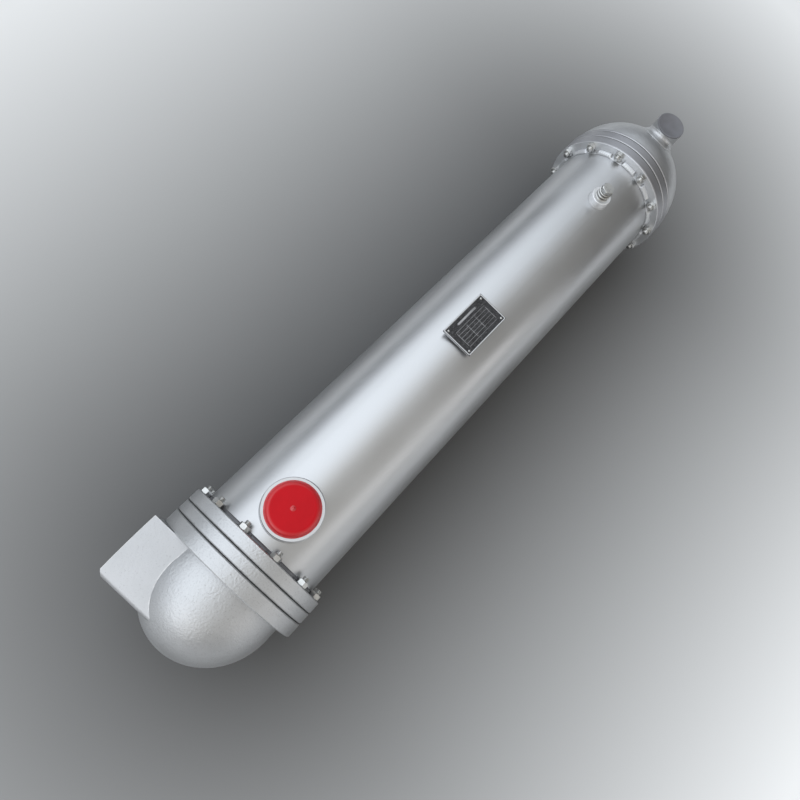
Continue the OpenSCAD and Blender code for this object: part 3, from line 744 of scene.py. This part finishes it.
def rules(centres, sizes, rise):
    """Thin raised strips: a section with a flat top and sloped sides, drawn out along each strip."""
    u = np.array([-0.5, -0.5, 0.5, 0.5])[None, :, None]
    v = np.array([-0.5, -0.25, 0.25, 0.5])[None, None, :]
    x = plate_mid[0] + centres[:, 0, None, None] + sizes[:, 0, None, None] * u + 0 * v
    y = plate_mid[1] + centres[:, 1, None, None] + sizes[:, 1, None, None] * v + 0 * u
    up = np.array([0, 1, 1, 0])[None, :, None] * np.array([0, 1, 1, 0])[None, None, :]
    sink = 0.0001
    return np.stack([x, y, plate_top - sink + (rise + sink) * up + 0 * x], -1)


line_w, rule_h, table_w, table_top, table_low = 0.0006, 0.0002, 0.074, 0.012, -0.020
table_mid, table_h = (table_top + table_low) / 2, table_top - table_low + line_w
rule_y = np.linspace(table_top, table_low, 6)
across = np.stack([0 * rule_y, rule_y], -1), np.broadcast_to([table_w, line_w], (len(rule_y), 2))
down_x = np.array([-table_w / 2, -0.012, 0.010, table_w / 2])
down = np.stack([down_x, table_mid + 0 * down_x], -1), np.broadcast_to([line_w, table_h], (len(down_x), 2))
head_bar = np.array([[0.0, 0.020]]), np.array([[0.046, 0.0042]])
rule_centres, rule_sizes = (np.concatenate(rows) for rows in zip(across, down, head_bar))
piece("plate_rules", rules(rule_centres, rule_sizes, rule_h), material=plate_mark)

# %% [markdown]
# ## Foot welds
# The pads are welded to the shell along their two curved edges, and the upright plates to their base
# plates. The same bead function is used; an open bead runs out to nothing at its ends.

# %% Pad beads
pad_low, pad_high = lo_hi("near_foot_pad")
foot_x = [(lo_hi(foot)[0][0] + lo_hi(foot)[1][0]) / 2 for foot in ("near_foot_base", "far_foot_base")]
pad_l, pad_w, pad_leg = pad_high[0] - pad_low[0], pad_high[1] - pad_low[1], 0.004
pad_angle = math.asin(pad_w / 2 / shell_r)
swing = np.linspace(-pad_angle, pad_angle, 500)
down_spoke = np.stack([0 * swing, np.sin(swing), -np.cos(swing)], -1)
along_x = np.broadcast_to([1.0, 0, 0], down_spoke.shape)
pad_ends = np.stack([
    bead(shell_r * down_spoke + [x + side * pad_l / 2, 0, axis_z], down_spoke, side * along_x,
         pad_leg, pad_leg, closed=False)
    for x in foot_x for side in (-1, 1)])
piece("pad_end_beads", pad_ends, False, True, material=silver)

# %% Web beads
web_low, web_high = lo_hi("near_foot_web")
web_t, web_foot, web_leg, web_half = web_high[0] - web_low[0], web_low[2], 0.005, 0.0475
run = np.linspace(-web_half, web_half, 240)
across_y = np.stack([0 * run, run, 0 * run], -1)
upward = np.broadcast_to([0, 0, 1.0], across_y.shape)
sideways = np.broadcast_to([1.0, 0, 0], across_y.shape)
web_feet = np.stack([
    bead(across_y + [x + side * web_t / 2, 0, web_foot], upward, side * sideways,
         web_leg, web_leg, closed=False)
    for x in foot_x for side in (-1, 1)])
piece("web_foot_beads", web_feet, False, True, material=silver)

# %% [markdown]
# ## Floor and light
# The floor is pale far out and grey near the object: the grey is a painted shadow round the object, and
# round metal shows the floor beside it along its sides. The light is a wide soft sky: full on the left from
# straight overhead almost down to the horizon, about a third as strong on the right, weaker ahead, and dark
# along the horizon. A sky that is a formula of the direction gives painted metal broad, even highlights
# with no lamp shapes in them. One low lamp lights the right flank and one behind the viewer lights the
# faces that look along the shell.

# %% Floor
reach = 60.0
corners = [(-reach, -reach, 0), (reach, -reach, 0), (reach, reach, 0), (-reach, reach, 0)]
floor_mesh = bpy.data.meshes.new("floor")
floor_mesh.from_pydata(corners, [], [(0, 1, 2, 3)])
floor = bpy.data.objects.new("floor", floor_mesh)
bpy.context.scene.collection.objects.link(floor)
floor_paint = finish("floor_paint", (0.62, 0.62, 0.61), (0.60, 0.60, 0.59), 0.0, 0.7, patch=2)
floor_mesh.materials.append(floor_paint)

# %% Painted shadow on the floor
half_length, grey_from, pale_from = 0.55, 0.08, 1.15
paint = floor_paint.node_tree
along_floor = sums(paint, "ABSOLUTE", along(paint, "X"))
past_end = sums(paint, "MAXIMUM", sums(paint, "SUBTRACT", along_floor, half_length), 0.0)
apart = distance(paint, past_end, along(paint, "Y"))
far_out = sums(paint, "POWER", span(paint, apart, grey_from, pale_from, 0, 1), 1.3)
# Painted shadow: the floor's colour is dark grey near the object and pale far out.
pale = mixed(paint, far_out, (0.08, 0.08, 0.08), (0.80, 0.80, 0.80))
paint.links.new(pale, paint.nodes["Principled BSDF"].inputs["Base Color"])
print("floor goes from grey to pale over", pale_from, "m")

# %% Sky
sky_right, sky_left, sky_ahead, sky_low = 0.58, 1.85, 0.14, 0.14
right_edge, left_edge = -0.38, 0.20
world = bpy.data.worlds.new("studio")
bpy.context.scene.world = world
world.use_nodes = True
sky = world.node_tree
toward = sky.nodes.new("ShaderNodeSeparateXYZ")
sky.links.new(sky.nodes.new("ShaderNodeTexCoord").outputs["Generated"], toward.inputs["Vector"])
to_left = toward.outputs["Y"]
side_level = span(sky, to_left, right_edge, left_edge, sky_right, sky_left)
ahead_by = sums(sky, "SUBTRACT", toward.outputs["X"], span(sky, to_left, 0.0, 0.6, 0.0, 0.22))
ahead_level = span(sky, ahead_by, 0.25, 0.85, 1.0, sky_ahead)
raised = sums(sky, "SUBTRACT", toward.outputs["Z"], span(sky, to_left, 0.2, 0.6, 0.0, 0.13))
horizon = span(sky, raised, 0.12, 0.40, sky_low, 1.0)
strength = sums(sky, "MULTIPLY", sums(sky, "MULTIPLY", side_level, ahead_level), horizon)
sky.links.new(strength, sky.nodes["Background"].inputs["Strength"])
warm, cool = (1.0, 0.975, 0.92), (0.89, 0.945, 1.0)
tint = mixed(sky, span(sky, to_left, right_edge, left_edge, 0, 1), warm, cool)
sky.links.new(tint, sky.nodes["Background"].inputs["Color"])
print("sky from", sky_right, "on the right to", sky_left, "on the left")

# %% Lamps


def lamp(name, place, target, size, watts):
    """A rectangular area lamp at place that faces target."""
    data = bpy.data.lights.new(name, "AREA")
    data.shape = "RECTANGLE"
    data.size, data.size_y = size
    data.energy = watts
    made = bpy.data.objects.new(name, data)
    bpy.context.scene.collection.objects.link(made)
    made.location = place
    made.rotation_mode = "QUATERNION"
    facing = Vector(target) - Vector(place)
    made.rotation_quaternion = facing.to_track_quat("-Z", "Y")
    print(name, "gives", watts, "W")


lamp("low_lamp", (0, -2.0, 0.75), (0, 0, 0.2), (3.0, 0.7), 6)
lamp("viewer_lamp", (-2.6, 0.2, 1.2), (0.3, 0, 0.2), (2.4, 1.2), 5)

# %% [markdown]
# ## Finish
# The Standard view shows the colours as they were mixed, with no film curve over them.

# %% Finish
bpy.context.scene.view_settings.view_transform = "Standard"
